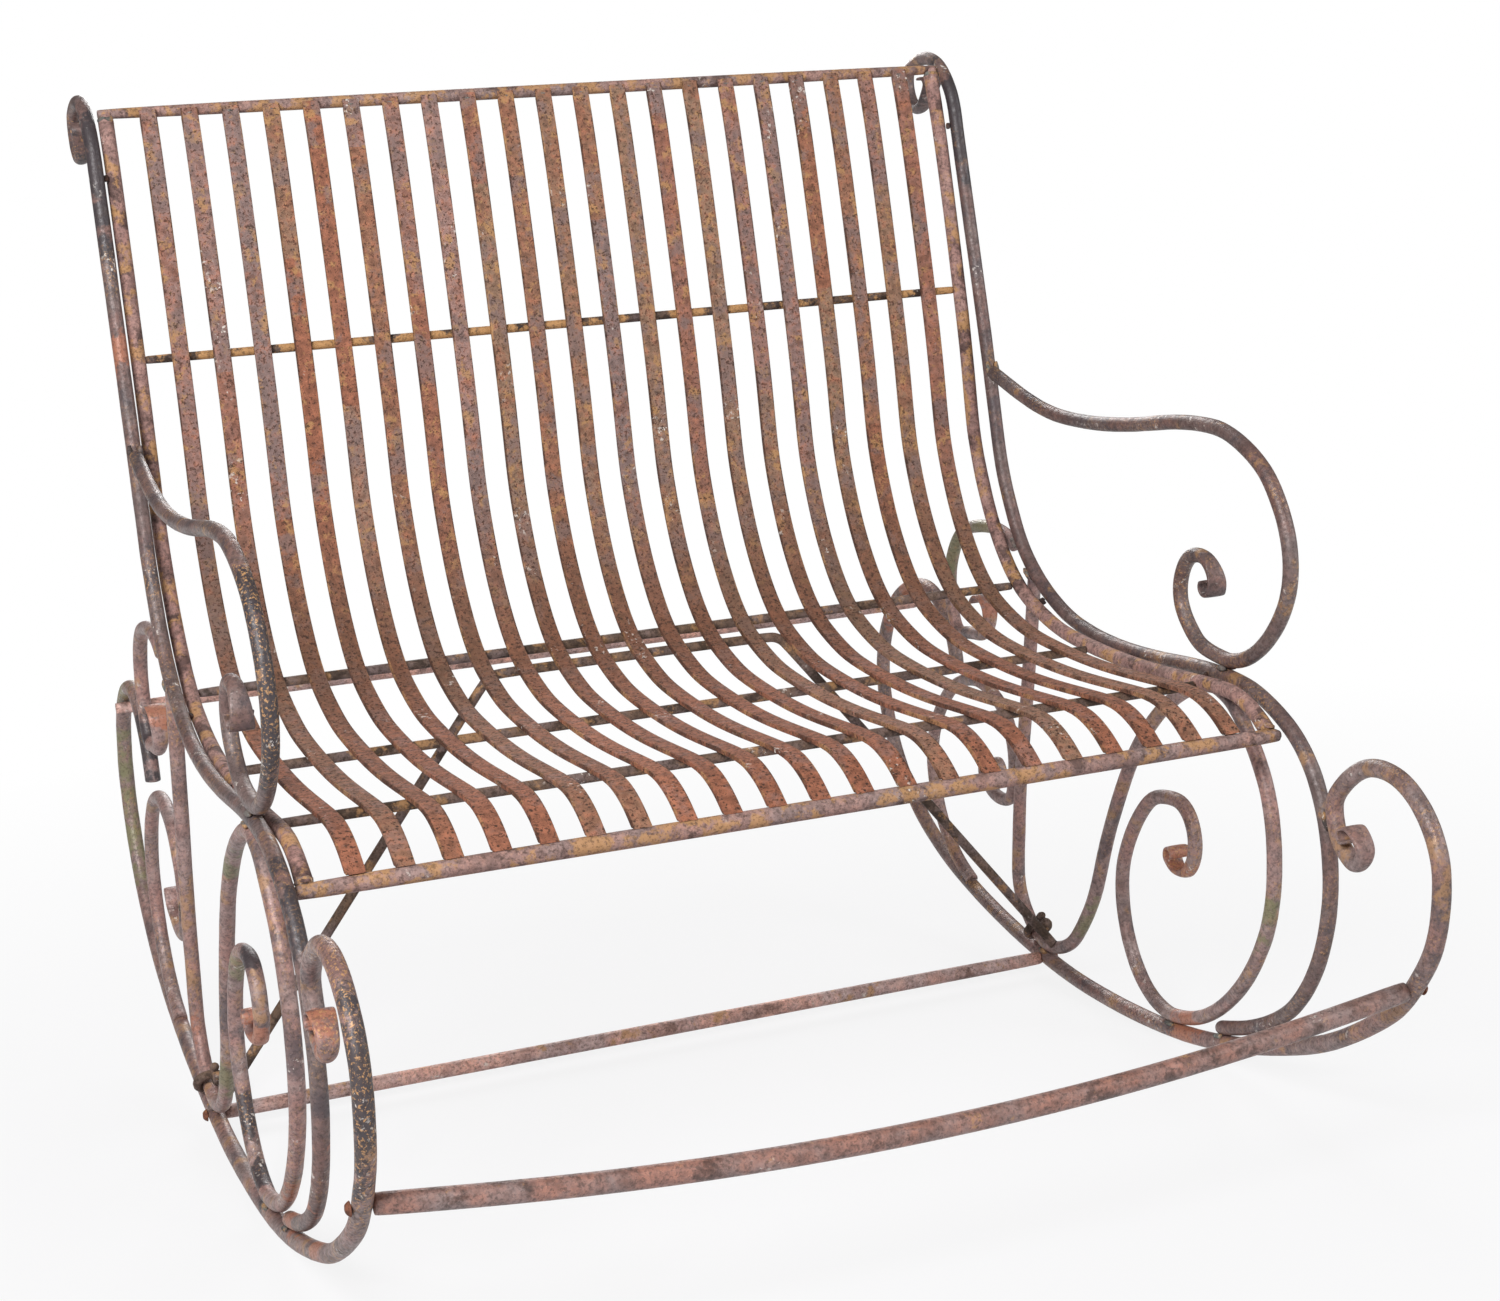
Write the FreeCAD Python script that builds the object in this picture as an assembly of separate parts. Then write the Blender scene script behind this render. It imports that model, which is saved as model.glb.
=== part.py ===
import FreeCAD, Part
import math
import os

# Rocking garden bench of bent iron bars: two scrolled end frames on rockers, a slatted panel that is
# seat and back in one, and the bars that tie the two ends together.
# Millimetres. +Z is up, the sitter faces -Y, and "right" means +X, as seen by someone facing the bench.
# The shapes in the side view are (y, z) points on the centre line of each bar, measured from the
# middle of the rockers. The finished bench is then set down at its point of balance.

# Overall widths
panel_half_width = 480.0        # middle of the bench to the middle of a side rail
frame_gap = 3.0                 # clear space between a side rail and the end frame beside it
weld_gap = 0.25                 # clearance where a bar lies along another

# Bars
frame_bar = 16.0                # arms, side bars, legs and scrolls
rocker_bar = 18.0
rail_bar = 16.0                 # side rails of the panel
top_rail_diameter = 14.0
front_rail_diameter = 18.0
front_rail_knob = 2.0           # how far the front rail stands out past the side rails
rail_end_taper = 3.0            # hammered-back edge at the ends of the top and front rails
back_bar_diameter = 10.0
seat_back_bar_diameter = 11.0
seat_bar_diameter = 11.0
stretcher_diameter = 17.0
rear_stretcher_diameter = 15.0
foot_bar_diameter = 20.0
brace_diameter = 11.0
link_width = 7.0                # square lugs between the panel and the end frames

# Slats
slat_width = 18.0
slat_thickness = 5.0
slat_count = 21

# Flattened and rolled bar ends
fishtail_width = 28.0
fishtail_thickness = 4.0
fishtail_length = 74.0          # over which the bar widens
fishtail_shoulder = 30.0        # over which it thins, at the start of that length

# Rivet heads outside the rockers
rivet_diameter = 15.0
rivet_height = 5.0
rivet_top_diameter = 8.0

# Round bends are laid in short flats, so that many bars stay light. These values say how fine.
flat_rise = 0.95                # greatest distance from a flat to its arc
flat_turn = 25.0                # greatest turn within the arc that one flat stands for, degrees
sample_turn = 2.0               # spacing of the points that a flat is fitted to, degrees
sample_length = 8.0             # the same along the bar

# Panel, from the top rail down the back, over the seat and down to the front rail
panel_line = (
    (336, 1008), (312, 962), (277, 870), (222, 711), (182, 578), (136, 507), (66, 450), (-18, 430),
    (-120, 433), (-250, 451), (-336, 470), (-397, 481), (-440, 474), (-468, 459),
)
# Places of the four bars and the brace under the slats, measured along the panel from its top rail
mid_back_bar_along = 262.0
seat_back_bar_along = 630.5
brace_along = 661.0
rear_seat_bar_along = 813.0
front_seat_bar_along = 1042.0

# Side bar, from its scroll at the top down to the rocker
side_bar_line = (
    (384, 990), (371, 992), (378, 969), (404, 952), (430, 965), (435, 990), (414, 1007), (363, 1015),
    (318, 988), (291, 927), (240, 801), (186, 658), (147, 554), (84, 478), (-5, 440), (-98, 435),
    (-215, 452), (-332, 479), (-425, 481), (-509, 446), (-556, 366), (-558, 265), (-514, 175),
    (-470, 137),
)
side_bar_foot = (-392, 84)

# Arm, from the side bar forward, round its loop and back to the fishtail
arm_start = (186, 679)
arm_line = (
    (135, 667), (42, 660), (-52, 671), (-145, 692), (-239, 720), (-332, 730), (-416, 696),
    (-456, 618), (-430, 547),
)
arm_rest = (-352, 484)
arm_tip_line = (
    (-290, 501), (-255, 546), (-284, 590), (-317, 584), (-326, 568), (-319, 556), (-311, 561),
    (-313, 570),
)

# Rocker, from its front scroll along the ground and up to the curl at the back
rocker_tip_line = (
    (-591, 394), (-583, 393), (-580, 400), (-588, 407), (-603, 403), (-612, 390), (-601, 374),
    (-578, 379),
)
rocker_scroll_touch = (-560, 405)
rocker_line = (
    (-584, 461), (-650, 483), (-716, 444), (-732, 367), (-701, 283), (-612, 194), (-471, 111),
    (-331, 55), (-191, 21), (-52, 1), (42, -2), (182, 5), (275, 20), (368, 56), (443, 123),
    (475, 205), (456, 286), (396, 345), (328, 358), (276, 326),
)
rocker_end = (256, 282)

# Leg and front scroll, one bar: fishtail, small scroll, loop on the rocker, arch under the seat,
# leg down to the rocker and up again to the side bar
leg_tip_line = (
    (-288, 249), (-285, 257), (-276, 257), (-271, 247), (-280, 236), (-299, 236), (-314, 252),
    (-317, 275), (-300, 305), (-247, 305), (-187, 241), (-170, 165),
)
loop_foot = (-292, 65)
loop_line = ((-420, 154), (-467, 291), (-425, 412))
arch_top = (-332, 470)
leg_front_line = ((-262, 426), (-200, 360), (-144, 242), (-98, 95), (-62, 42))
leg_foot = (-4, 0)
leg_rear_line = ((61, 46), (77, 138), (68, 329))
leg_head = (72, 452)

# Upper rear scroll, from the side bar back and down
upper_scroll_start = (108, 484)
upper_scroll_line = ((145, 491), (191, 485), (261, 451), (282, 397))
upper_scroll_rest = (262, 338)
upper_scroll_tip_line = ((215, 340), (186, 347), (171, 369), (179, 392), (197, 394), (203, 383))

# Lower rear scroll, from the rocker up and over, and down to its fishtail
lower_scroll_start = (196, 14)
lower_scroll_line = ((297, 78), (319, 147), (296, 216), (244, 267), (178, 285), (111, 255))
lower_scroll_touch = (80, 203)
lower_scroll_tip_line = (
    (101, 164), (127, 153), (155, 157), (170, 174), (163, 192), (147, 194), (140, 183),
)
root_spacing = 8.0              # middle of the lower scroll's root from that of the rocker it grows out of

# Cross bars between the rockers, and the brace
stretcher_place = (-4, 0)
rear_stretcher_place = (408, 314)     # inside the curl of the rockers
rear_stretcher_end = 5.0        # how far it stands out past the rockers
foot_bar_place = (-701, 290)
foot_bar_forward = 26.0         # worn bow of the foot bar in the middle, forward and down
foot_bar_sag = 24.0
brace_half_top = 168.0          # half length of the brace's level part under the slats
brace_foot_place = (-30, 22)    # where its feet meet the legs
brace_bend = 30.0

# Lugs between each side rail and its side bar, as places along the side rail
link_places = ((303, 946), (26, 437), (-178, 441), (-330, 469))

# The bench may rest on any flat of the rockers whose ends lie below this height
low_on_rocker = 60.0

Vector = FreeCAD.Vector
across = Vector(1, 0, 0)
frame_x = panel_half_width + rail_bar / 2 + frame_gap + frame_bar / 2
frame_inner = frame_x - frame_bar / 2
slat_pitch = 2 * panel_half_width / (slat_count + 1)
slat_rise = (rail_bar - slat_thickness) / 2     # slats lie flush with the front of the side rails
under_slats = slat_rise - slat_thickness / 2


def at(place):
    return Vector(0, place[0], place[1])


def left_of(heading):
    return across.cross(heading)


# Centre lines

def circle_heading(before, here, after):
    """Heading at a point, on the circle through it and its two neighbours."""
    a = here - before
    b = after - here
    heading = a * (b.Length / a.Length) + b * (a.Length / b.Length)
    return heading.normalize()


def mirrored_heading(heading, chord):
    """Heading at the far end of one arc that has this heading at its near end."""
    unit = Vector(chord).normalize()
    return unit * (2 * unit.dot(heading)) - heading


def headings_along(points, fixed):
    """A heading for each point: the fixed ones, and those of the circles through the others."""
    last = len(points) - 1
    headings = [None] * len(points)
    for i in range(1, last):
        headings[i] = circle_heading(points[i - 1], points[i], points[i + 1])
    for i, heading in fixed.items():
        chord = points[min(i + 1, last)] - points[max(i - 1, 0)]
        headings[i] = heading if heading.dot(chord) > 0 else -heading
    if headings[0] is None:
        headings[0] = mirrored_heading(headings[1], points[1] - points[0])
    if headings[last] is None:
        headings[last] = mirrored_heading(headings[last - 1], points[last] - points[last - 1])
    return headings


def arc_samples(start, heading, end):
    """Points after start, close together, along the arc that leaves on this heading and reaches end."""
    chord = end - start
    turn = 2 * math.atan2(left_of(heading).dot(chord), heading.dot(chord))
    if abs(turn) < 1e-4:
        return [end]
    radius = chord.Length / (2 * abs(math.sin(turn / 2)))
    steps = max(abs(turn) / math.radians(sample_turn), abs(turn) * radius / sample_length)
    steps = math.ceil(steps)
    middle = start + left_of(heading) * math.copysign(radius, turn)
    arm = start - middle
    side = left_of(arm)
    angles = [turn * i / steps for i in range(1, steps)]
    return [middle + arm * math.cos(angle) + side * math.sin(angle) for angle in angles] + [end]


def meeting_point(start, start_heading, end, end_heading):
    """Where the two arcs meet that join two points with their headings."""
    chord = end - start
    both = start_heading + end_heading
    spread = 2 * (1 - start_heading.dot(end_heading))
    along = chord.dot(both)
    if spread < 1e-9:
        reach = chord.dot(chord) / (2 * along)
    else:
        reach = (math.sqrt(along * along + spread * chord.dot(chord)) - along) / spread
    return (start + end + (start_heading - end_heading) * reach) * 0.5


def flat_fits(samples, first, last):
    """Whether one flat may replace the samples from first to last."""
    start_run = samples[first + 1] - samples[first]
    end_run = samples[last] - samples[last - 1]
    if start_run.getAngle(end_run) > math.radians(flat_turn):
        return False
    flat = (samples[last] - samples[first]).normalize()
    between = samples[first + 1:last]
    return all(flat.cross(sample - samples[first]).Length <= flat_rise for sample in between)


def longest_flats(samples, kept):
    """The samples thinned to the fewest flats that fit; those in kept stay."""
    line = [samples[0]]
    first = 0
    while first < len(samples) - 1:
        last = first + 1
        while last < len(samples) - 1 and last not in kept and flat_fits(samples, first, last + 1):
            last += 1
        line.append(samples[last])
        first = last
    return line


def centre_line(places, fixed=None):
    """Flats along the tangent arcs through the places; fixed gives headings by place number."""
    fixed = fixed or {}
    points = [place if isinstance(place, Vector) else at(place) for place in places]
    headings = headings_along(points, fixed)
    samples = [points[0]]
    kept = set()
    for i in range(len(points) - 1):
        meet = meeting_point(points[i], headings[i], points[i + 1], headings[i + 1])
        samples += arc_samples(points[i], headings[i], meet)
        samples += arc_samples(meet, mirrored_heading(headings[i], meet - points[i]), points[i + 1])
        if i + 1 in fixed:
            kept.add(len(samples) - 1)
    return longest_flats(samples, kept)


def nearest(line, place):
    """The point of a centre line nearest to a place, and the heading of the flat it is on."""
    target = at(place)
    best = None
    for start, end in zip(line, line[1:]):
        run = end - start
        share = min(1.0, max(0.0, (target - start).dot(run) / run.dot(run)))
        point = start + run * share
        distance = (target - point).Length
        if best is None or distance < best[0]:
            best = (distance, point, run.normalize())
    return best[1], best[2]


def beside(line, place, spacing):
    """A point at a set spacing from a centre line, on the side of the place given, and its heading."""
    point, heading = nearest(line, place)
    side = left_of(heading)
    if side.dot(at(place) - point) < 0:
        side = -side
    return point + side * spacing, heading


def offset_line(line, rise):
    """The same line moved to its right by a set amount, mitred at each turn."""
    joints = [mitre(line, i, across) for i in range(len(line))]
    return [point - normal * (rise * stretch) for point, (normal, stretch) in zip(line, joints)]


# Solids

def mitre(line, i, sideways):
    """In-plane normal of the joint at a point of a line, and how much wider the joint is cut."""
    arrive = line[i] - line[i - 1] if i > 0 else line[1] - line[0]
    leave = line[i + 1] - line[i] if i < len(line) - 1 else arrive
    arrive = Vector(arrive).normalize()
    heading = (arrive + Vector(leave).normalize()).normalize()
    return sideways.cross(heading), 1 / heading.dot(arrive)


def octagon(half_width, half_height):
    """Corners of a round bar's section in eight flats, as (sideways, in plane) pairs."""
    cut = min(half_width, half_height) * (2 - math.sqrt(2))
    w, h = half_width, half_height
    quarter = ((w, h - cut), (w - cut, h))
    upper = quarter + tuple((-x, y) for x, y in reversed(quarter))
    return upper + tuple((-x, -y) for x, y in upper)


def rectangle(half_width, half_height):
    w, h = half_width, half_height
    return ((w, -h), (w, h), (-w, h), (-w, -h))


def flat_faces(a, b, c, d):
    """The four-cornered face, or two three-cornered ones where its corners aren't in one plane."""
    normal = (b - a).cross(c - a).normalize()
    if abs(normal.dot(d - a)) < 1e-6:
        return [Part.Face(Part.makePolygon([a, b, c, d, a]))]
    return [Part.Face(Part.makePolygon([a, b, c, a])), Part.Face(Part.makePolygon([a, c, d, a]))]


def skin(rings):
    """The solid between a row of closed outlines that all have the same number of corners."""
    faces = [Part.Face(Part.makePolygon(ring + ring[:1])) for ring in (rings[0], rings[-1])]
    for ring, following in zip(rings, rings[1:]):
        for i in range(len(ring)):
            faces += flat_faces(ring[i - 1], ring[i], following[i], following[i - 1])
    shell = Part.makeShell(faces)
    shell.sewShape()
    solid = Part.makeSolid(shell)
    if solid.Volume < 0:
        solid.reverse()
    return solid


def bar_along(line, sideways, section_at):
    """A solid with its section on the joint at each point of a flat centre line."""
    lengths = [0.0]
    for start, end in zip(line, line[1:]):
        lengths.append(lengths[-1] + (end - start).Length)
    rings = []
    for i, point in enumerate(line):
        normal, stretch = mitre(line, i, sideways)
        section = section_at(lengths[i], lengths[-1])
        rings.append([point + sideways * x + normal * (y * stretch) for x, y in section])
    return skin(rings)


def plain_bar(line, diameter, sideways=across):
    """A round bar of one thickness."""
    half = diameter / 2
    return bar_along(line, sideways, lambda along, total: octagon(half, half))


def scroll_bar(line, diameter, tip_at_start):
    """A round bar in a side view, flattened and widened to a fishtail at one of its ends."""
    def section(along, total):
        worked = fishtail_length - (along if tip_at_start else total - along)
        widened = max(0.0, worked / fishtail_length)
        thinned = min(1.0, max(0.0, worked / fishtail_shoulder))
        width = diameter + (fishtail_width - diameter) * widened
        height = diameter + (fishtail_thickness - diameter) * thinned
        return octagon(width / 2, height / 2)
    bar = bar_along(line, across, section)
    bar.translate(across * frame_x)
    return bar


def cross_bar(point, diameter, half_length, facing=Vector(0, 1, 0)):
    """A straight round bar across the bench, with one of its flats facing along a heading."""
    line = [point - across * half_length, point + across * half_length]
    return plain_bar(line, diameter, facing)


def end_rail(point, diameter, half_length):
    """A straight round bar across the bench with its ends hammered back."""
    inner = half_length - rail_end_taper
    line = [point + across * x for x in (-half_length, -inner, inner, half_length)]

    def section(along, total):
        size = diameter / 2 - (rail_end_taper if along in (0.0, total) else 0.0)
        return octagon(size, size)
    return bar_along(line, Vector(0, 1, 0), section)


def mirrored(shape):
    return shape.mirror(Vector(0, 0, 0), across)


# Panel

def panel_pieces():
    line = centre_line(panel_line)
    pieces = {}
    half = panel_half_width + rail_bar / 2
    top_rail = end_rail(line[0], top_rail_diameter, half)
    front_rail = end_rail(line[-1], front_rail_diameter, half + front_rail_knob)
    side_rail = plain_bar(line, rail_bar).cut(top_rail).cut(front_rail)
    side_rail.translate(across * panel_half_width)
    pieces["right_side_rail"] = side_rail
    pieces["left_side_rail"] = mirrored(side_rail)
    pieces["top_rail"] = top_rail
    pieces["front_rail"] = front_rail

    inner_half = panel_half_width - rail_bar / 2
    bars = (
        ("mid_back_bar", back_bar_diameter, mid_back_bar_along),
        ("seat_back_bar", seat_back_bar_diameter, seat_back_bar_along),
        ("rear_seat_bar", seat_bar_diameter, rear_seat_bar_along),
        ("front_seat_bar", seat_bar_diameter, front_seat_bar_along),
    )
    for name, diameter, along in bars:
        point, heading = behind_slats(line, along, diameter)
        pieces[name] = cross_bar(point, diameter, inner_half, heading)

    slat_section = rectangle(slat_width / 2, slat_thickness / 2)
    slat = bar_along(offset_line(line, slat_rise), across, lambda along, total: slat_section)
    slat = slat.cut(top_rail).cut(front_rail)
    for i in range(slat_count):
        copy = slat.copy()
        copy.translate(across * (slat_pitch * (i + 1) - panel_half_width))
        pieces["slat_%02d" % (i + 1)] = copy
    return line, pieces


def place_along(line, distance):
    """The point at a distance along a line from its start, and the heading there."""
    for start, end in zip(line, line[1:]):
        run = end - start
        if distance <= run.Length:
            break
        distance -= run.Length
    heading = run.normalize()
    return start + heading * distance, heading


def behind_slats(line, distance, diameter):
    """The middle of a bar across the back of the slats, and the panel's heading there."""
    point, heading = place_along(line, distance)
    return point + left_of(heading) * (diameter / 2 + weld_gap - under_slats), heading


# End frames

def frame_lines():
    """Centre lines of the six bars of an end frame. Each is placed against those it is welded to."""
    side_by_side = frame_bar + weld_gap
    on_rocker = (frame_bar + rocker_bar) / 2 + weld_gap
    lines = {}

    rocker_path = rocker_tip_line + (rocker_scroll_touch,) + rocker_line + (rocker_end,)
    plain_side = centre_line(side_bar_line)
    touch, touch_heading = beside(plain_side, rocker_scroll_touch, on_rocker)
    here = len(rocker_tip_line)
    rocker_path = rocker_path[:here] + (touch,) + rocker_path[here + 1:]
    lines["rocker"] = centre_line(rocker_path, {here: touch_heading})

    foot, foot_heading = beside(lines["rocker"], side_bar_foot, on_rocker)
    last = len(side_bar_line)
    lines["side_bar"] = centre_line(side_bar_line + (foot,), {last: foot_heading})

    start, _ = nearest(lines["side_bar"], arm_start)
    rest, rest_heading = beside(lines["side_bar"], arm_rest, side_by_side)
    here = len(arm_line) + 1
    arm_path = (start,) + arm_line + (rest,) + arm_tip_line
    lines["arm"] = centre_line(arm_path, {here: rest_heading})

    loop, loop_heading = beside(lines["rocker"], loop_foot, on_rocker)
    arch, arch_heading = beside(lines["side_bar"], arch_top, side_by_side)
    foot, foot_heading = beside(lines["rocker"], (leg_foot[0], leg_foot[1] + on_rocker), on_rocker)
    head, _ = nearest(lines["side_bar"], leg_head)
    leg_path = leg_tip_line + (loop,) + loop_line + (arch,) + leg_front_line + (foot,)
    leg_path = leg_path + leg_rear_line + (head,)
    fixed = {
        leg_path.index(loop): loop_heading,
        leg_path.index(arch): arch_heading,
        leg_path.index(foot): foot_heading,
    }
    lines["leg"] = centre_line(leg_path, fixed)

    start, heading = beside(lines["side_bar"], upper_scroll_start, side_by_side)
    rest, rest_heading = beside(lines["rocker"], upper_scroll_rest, on_rocker)
    here = len(upper_scroll_line) + 1
    path = (start,) + upper_scroll_line + (rest,) + upper_scroll_tip_line
    lines["upper_scroll"] = centre_line(path, {0: heading, here: rest_heading})

    start, heading = beside(lines["rocker"], lower_scroll_start, root_spacing)
    touch, touch_heading = beside(lines["leg"], lower_scroll_touch, side_by_side)
    here = len(lower_scroll_line) + 1
    path = (start,) + lower_scroll_line + (touch,) + lower_scroll_tip_line
    lines["lower_scroll"] = centre_line(path, {0: heading, here: touch_heading})
    return lines


def frame_pieces(lines):
    """The six bars of the right end frame, and their mirror images on the left."""
    bars = {
        "rocker": scroll_bar(lines["rocker"], rocker_bar, tip_at_start=True),
        "side_bar": scroll_bar(lines["side_bar"], frame_bar, tip_at_start=True),
        "arm": scroll_bar(lines["arm"], frame_bar, tip_at_start=False),
        "leg_scroll": scroll_bar(lines["leg"], frame_bar, tip_at_start=True),
        "upper_scroll": scroll_bar(lines["upper_scroll"], frame_bar, tip_at_start=False),
        "lower_scroll": scroll_bar(lines["lower_scroll"], frame_bar, tip_at_start=False),
    }
    bars["arm"] = bars["arm"].cut(bars["side_bar"])
    bars["leg_scroll"] = bars["leg_scroll"].cut(bars["side_bar"])
    bars["side_bar"] = bars["side_bar"].cut(bars["rocker"])
    bars["lower_scroll"] = bars["lower_scroll"].cut(bars["rocker"]).cut(bars["leg_scroll"])
    pieces = {}
    for name, bar in bars.items():
        pieces["right_" + name] = bar
        pieces["left_" + name] = mirrored(bar)
    return pieces


def bend(corner, arrive, leave, radius):
    """Flats round one corner of a bar, between its two straight runs."""
    half_turn = arrive.getAngle(leave) / 2
    start = corner - arrive * (radius * math.tan(half_turn))
    steps = math.ceil(2 * half_turn / math.radians(flat_turn))
    inward = (leave - arrive).normalize()
    middle = corner + inward * (radius / math.cos(half_turn))
    arm = start - middle
    angles = [2 * half_turn * i / steps for i in range(steps + 1)]
    return [middle + arm * math.cos(angle) + arrive * (radius * math.sin(angle)) for angle in angles]


def tie_bars(lines, panel):
    """The bars between the rockers, the brace under the seat, and the rivets of the lower two."""
    half = frame_x - rocker_bar / 2
    stretcher_end, _ = nearest(lines["rocker"], stretcher_place)
    foot_end, _ = nearest(lines["rocker"], foot_bar_place)
    rear_spacing = (rocker_bar + rear_stretcher_diameter) / 2 + weld_gap
    rear_end, facing = beside(lines["rocker"], rear_stretcher_place, rear_spacing)
    rear_half = frame_x + rocker_bar / 2 + rear_stretcher_end
    pieces = {}
    pieces["stretcher"] = cross_bar(stretcher_end, stretcher_diameter, half)
    pieces["rear_stretcher"] = cross_bar(rear_end, rear_stretcher_diameter, rear_half, facing)
    pieces["foot_bar"] = foot_bar(foot_end, half)
    pieces["brace"] = brace(panel, lines["leg"])
    pieces["right_rivets"] = Part.makeCompound([rivet_head(stretcher_end), rivet_head(foot_end)])
    pieces["left_rivets"] = mirrored(pieces["right_rivets"])
    return pieces


def foot_bar(end, half):
    """The foot bar: a wide bow between the rockers, worn forward and down in the middle."""
    sag = Vector(0, -foot_bar_forward, -foot_bar_sag)
    depth = sag.Length
    radius = (half * half + depth * depth) / (2 * depth)
    half_turn = math.asin(half / radius)
    steps = math.ceil(half_turn / math.acos(1 - flat_rise / radius))
    middle = end + sag * (1 - radius / depth)
    toward = Vector(sag).normalize()
    line = []
    for i in range(steps + 1):
        angle = half_turn * (2 * i / steps - 1)
        line.append(middle + across * (radius * math.sin(angle)) + toward * (radius * math.cos(angle)))
    first = line[0] - (line[1] - line[0]) * (foot_bar_diameter / (line[1] - line[0]).Length)
    last = line[-1] - (line[-2] - line[-1]) * (foot_bar_diameter / (line[-2] - line[-1]).Length)
    bar = plain_bar([first] + line[1:-1] + [last], foot_bar_diameter, across.cross(toward))
    room = 2 * (depth + foot_bar_diameter)
    between = Part.makeBox(2 * half, room, room)
    between.translate(end - Vector(half, room / 2, room / 2))
    return bar.common(between)


def brace(panel, leg):
    """The brace: level across the back of the slats, then down and out to the legs."""
    top, _ = behind_slats(panel, brace_along, brace_diameter)
    foot, _ = nearest(leg, brace_foot_place)
    corners = [top - across * brace_half_top, top + across * brace_half_top]
    feet = [foot - across * frame_x, foot + across * frame_x]
    rise = (corners[0] - feet[0]).normalize()
    fall = (feet[1] - corners[1]).normalize()
    line = [feet[0]]
    line += bend(corners[0], rise, across, brace_bend)
    line += bend(corners[1], across, fall, brace_bend)
    line.append(feet[1])
    return plain_bar(line, brace_diameter, (top - foot).cross(across).normalize())


def rivet_head(point):
    """A low head against the outer side of a rocker."""
    base = point + across * (frame_x + rocker_bar / 2)
    top = base + across * rivet_height
    rings = []
    for middle, diameter in ((base, rivet_diameter), (top, rivet_top_diameter)):
        corners = octagon(diameter / 2, diameter / 2)
        rings.append([middle + Vector(0, y, z) for y, z in corners])
    return skin(rings)


def link_lugs(panel, lines, pieces):
    """Short square lugs from each side rail to the side bar beside it, cut to fit both."""
    lugs = []
    section = rectangle(link_width / 2, link_width / 2)
    for place in link_places:
        rail_point, heading = nearest(panel, place)
        bar_point, _ = nearest(lines["side_bar"], (rail_point.y, rail_point.z))
        line = [rail_point + across * panel_half_width, bar_point + across * frame_x]
        sideways = (line[1] - line[0]).cross(heading).normalize()
        lug = bar_along(line, sideways, lambda along, total: section)
        lug = lug.cut(pieces["right_side_rail"]).cut(pieces["right_side_bar"])
        lugs.append(max(lug.Solids, key=lambda solid: solid.Volume))
    right = Part.makeCompound(lugs)
    return {"right_links": right, "left_links": mirrored(right)}


# Point of balance

def centre_of_mass(pieces):
    solids = [solid for shape in pieces.values() for solid in shape.Solids]
    total = sum(solid.Volume for solid in solids)
    moment = Vector(0, 0, 0)
    for solid in solids:
        moment += solid.CenterOfMass * solid.Volume
    return moment * (1 / total)


def resting_flat(rocker, balance):
    """The flat of the rocker that lies most squarely under the centre of mass, as start and end."""
    best = None
    for start, end in zip(rocker, rocker[1:]):
        run = end - start
        if start.z > low_on_rocker or end.z > low_on_rocker:
            continue
        astray = abs((balance - (start + end) * 0.5).dot(run) / run.Length)
        if best is None or astray < best[0]:
            best = (astray, start, end)
    return best[1], best[2]


def set_down(pieces, lines):
    """Turns the bench until it rests at its balance and stands it centred on the ground."""
    start, end = resting_flat(lines["rocker"], centre_of_mass(pieces))
    slope = math.degrees(math.atan2(end.z - start.z, end.y - start.y))
    for shape in pieces.values():
        shape.rotate(Vector(0, 0, 0), across, -slope)
    whole = Part.makeCompound(list(pieces.values())).BoundBox
    shift = Vector(0, -(whole.YMin + whole.YMax) / 2, -whole.ZMin)
    for shape in pieces.values():
        shape.translate(shift)


def build():
    panel, pieces = panel_pieces()
    lines = frame_lines()
    pieces.update(frame_pieces(lines))
    pieces.update(tie_bars(lines, panel))
    for side in ("left", "right"):
        pieces["brace"] = pieces["brace"].cut(pieces[side + "_leg_scroll"])
    pieces.update(link_lugs(panel, lines, pieces))
    set_down(pieces, lines)
    return pieces


os.makedirs("parts", exist_ok=True)
for name, shape in build().items():
    shape.exportStep("parts/%s.step" % name)
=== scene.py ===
"""Rocking garden bench of bent iron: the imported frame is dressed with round, forged and rusted bars."""
import math

import bpy
from mathutils import Matrix, Vector
from mathutils.bvhtree import BVHTree


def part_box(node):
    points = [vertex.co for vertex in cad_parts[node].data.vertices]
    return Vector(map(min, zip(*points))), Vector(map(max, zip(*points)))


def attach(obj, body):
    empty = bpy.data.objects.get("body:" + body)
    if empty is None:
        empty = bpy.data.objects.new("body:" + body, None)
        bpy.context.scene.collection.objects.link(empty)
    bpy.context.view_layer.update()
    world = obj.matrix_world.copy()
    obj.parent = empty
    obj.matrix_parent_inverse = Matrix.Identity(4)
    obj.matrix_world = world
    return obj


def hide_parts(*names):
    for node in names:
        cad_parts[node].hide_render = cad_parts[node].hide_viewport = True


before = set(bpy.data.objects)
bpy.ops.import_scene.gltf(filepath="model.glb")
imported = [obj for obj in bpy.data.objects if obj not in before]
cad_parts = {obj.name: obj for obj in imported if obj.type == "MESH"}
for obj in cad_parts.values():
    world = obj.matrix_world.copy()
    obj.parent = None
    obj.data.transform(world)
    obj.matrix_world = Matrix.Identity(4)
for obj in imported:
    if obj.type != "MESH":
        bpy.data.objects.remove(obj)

bl_info = {
    "name": "Rusted rocking bench",
    "version": (1, 0, 0),
    "blender": (4, 5, 0),
    "location": "View3D > Sidebar > Bench",
    "description": "Forged iron bars, rust and studio for a slatted rocking bench",
    "category": "Object",
}

SIDES = ("left", "right")
SLATS = [name for name in sorted(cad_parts) if name.startswith("slat_")]
CROSS_BARS = ("mid_back_bar", "seat_back_bar", "rear_seat_bar", "front_seat_bar")

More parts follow.
